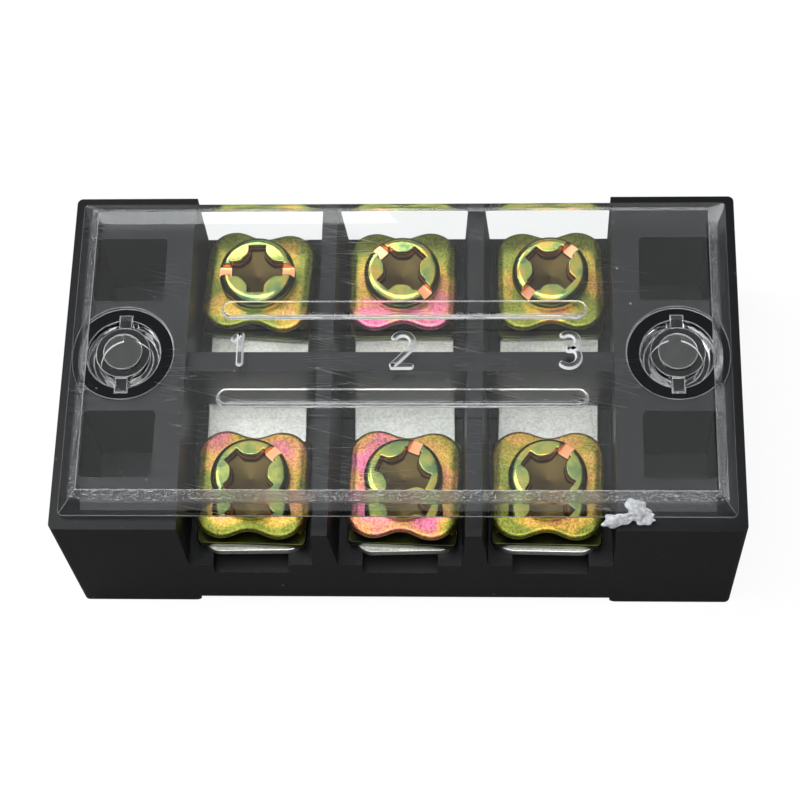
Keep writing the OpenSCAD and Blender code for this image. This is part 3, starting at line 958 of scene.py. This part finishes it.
class STRIP_OT_bars(bpy.types.Operator):
    """Finishes the three link bars and the six clamp plates"""

    bl_idname = "terminal_strip.bars"
    bl_label = "Link bars and clamp plates"

    def execute(self, context):
        edges = context.scene.strip_edges
        for pole in POLES:
            piece = softened(f"link_bar_{pole}", edges.bar, material_of("tin"))
        for row, pole in TERMINALS:
            piece = softened(f"clamp_plate_{row}_{pole}", edges.plate, material_of("plate"))
        return {"FINISHED"}


# ---- stage --------------------------------------------------------------------------------------

# Camera, in millimetres: where it stands, what it looks at, and its roll in degrees
CAMERA_PLACE = (9.535, -79.062, 183.94)
CAMERA_AIM = (0.136, -3.833, 17.3)
CAMERA_ROLL = -6.475
CAMERA_LENS = 98.9

# Half the width of the floor, in millimetres
FLOOR_REACH = 1500.0

# Strength of the sky as a light, and as it is seen directly or through the cover
SKY = (0.07, 1.0)

# Soft boxes: name, place, width and height in millimetres, and power in watts. The sky between the
# overhead strip and the far box, which the cover's flat top mirrors to the camera, stays dim.
LAMPS = (
    ("overhead_strip", (-50.0, -60.0, 340.0), (520.0, 190.0), 2.0),
    ("left_box", (-330.0, 20.0, 150.0), (160.0, 160.0), 0.55),
    ("right_box", (330.0, 40.0, 160.0), (160.0, 160.0), 0.08),
    ("near_box", (-20.0, -340.0, 200.0), (300.0, 90.0), 0.13),
    ("far_box", (40.0, 340.0, 150.0), (320.0, 90.0), 0.12),
)


class STRIP_OT_stage(bpy.types.Operator):
    """Sets the pale floor, the soft lamps and the camera"""

    bl_idname = "terminal_strip.stage"
    bl_label = "Studio"

    def execute(self, context):
        scene = context.scene
        low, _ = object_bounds()
        x, y = np.meshgrid([-FLOOR_REACH, FLOOR_REACH], [-FLOOR_REACH, FLOOR_REACH])
        points = np.stack([x.ravel(), y.ravel(), np.full(4, low[2] / MM)], -1)
        mesh = bpy.data.meshes.new("floor")
        mesh.from_pydata((points * MM).tolist(), [], [(0, 1, 3, 2)])
        floor = bpy.data.objects.new("floor", mesh)
        scene.collection.objects.link(floor)
        floor.data.materials.append(material_of("floor"))
        floor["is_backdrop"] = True

        for name, place, (width, height), power in LAMPS:
            data = bpy.data.lights.new(name, "AREA")
            data.shape = "RECTANGLE"
            data.size = width * MM
            data.size_y = height * MM
            data.energy = power
            lamp = bpy.data.objects.new(name, data)
            lamp.location = Vector(place) * MM
            lamp.rotation_euler = (-lamp.location).to_track_quat("-Z", "Y").to_euler()
            scene.collection.objects.link(lamp)

        world = bpy.data.worlds.new("studio")
        world.use_nodes = True
        tree = world.node_tree
        tree.nodes.clear()
        level = remapped(tree, seen_directly(tree), (0.0, 1.0), SKY)
        glow = add_node(tree, "ShaderNodeBackground", Color=WHITE, Strength=level)
        output = add_node(tree, "ShaderNodeOutputWorld")
        tree.links.new(glow.outputs[0], output.inputs["Surface"])
        scene.world = world

        data = bpy.data.cameras.new("camera")
        data.lens = CAMERA_LENS
        data.sensor_width = 36.0
        data.clip_start = 0.005
        data.clip_end = 10.0
        camera = bpy.data.objects.new("camera", data)
        sight = (Vector(CAMERA_AIM) - Vector(CAMERA_PLACE)).to_track_quat("-Z", "Y").to_matrix()
        roll = Matrix.Rotation(math.radians(CAMERA_ROLL), 3, "Z")
        camera.matrix_world = Matrix.Translation(Vector(CAMERA_PLACE) * MM) @ (sight @ roll).to_4x4()
        scene.collection.objects.link(camera)
        scene.camera = camera
        scene.view_settings.view_transform = "Standard"
        return {"FINISHED"}


# ---- add-on ------------------------------------------------------------------------------------------


class STRIP_PT_panel(bpy.types.Panel):
    """Lists the steps that finish the terminal strip"""

    bl_idname = "STRIP_PT_panel"
    bl_label = "Terminal Strip"
    bl_space_type = "VIEW_3D"
    bl_region_type = "UI"
    bl_category = "Terminal Strip"

    def draw(self, context):
        for operator in OPERATORS:
            self.layout.operator(operator.bl_idname)
        for name in GROUPS:
            box = self.layout.box()
            group = getattr(context.scene, name)
            for key in group.bl_rna.properties.keys():
                if key not in ("rna_type", "name"):
                    box.prop(group, key)


OPERATORS = (STRIP_OT_base, STRIP_OT_bars, STRIP_OT_saddles, STRIP_OT_screws, STRIP_OT_cover, STRIP_OT_stage)
GROUPS = {
    "strip_edges": StripEdges,
    "saddle_sizes": SaddleSizes,
    "screw_sizes": ScrewSizes,
    "mark_sizes": MarkSizes,
    "strip_colours": StripColours,
}


def register():
    """Makes the property groups, operators and panel known to Blender."""
    for group in GROUPS.values():
        bpy.utils.register_class(group)
    for operator in OPERATORS:
        bpy.utils.register_class(operator)
    bpy.utils.register_class(STRIP_PT_panel)
    for name, group in GROUPS.items():
        setattr(bpy.types.Scene, name, bpy.props.PointerProperty(type=group))


def unregister():
    """Takes them away again."""
    for name in GROUPS:
        delattr(bpy.types.Scene, name)
    bpy.utils.unregister_class(STRIP_PT_panel)
    for operator in OPERATORS:
        bpy.utils.unregister_class(operator)
    for group in GROUPS.values():
        bpy.utils.unregister_class(group)


def main():
    """Runs every step in order."""
    register()
    for operator in OPERATORS:
        group, name = operator.bl_idname.split(".")
        getattr(getattr(bpy.ops, group), name)()


if __name__ == "__main__":
    main()
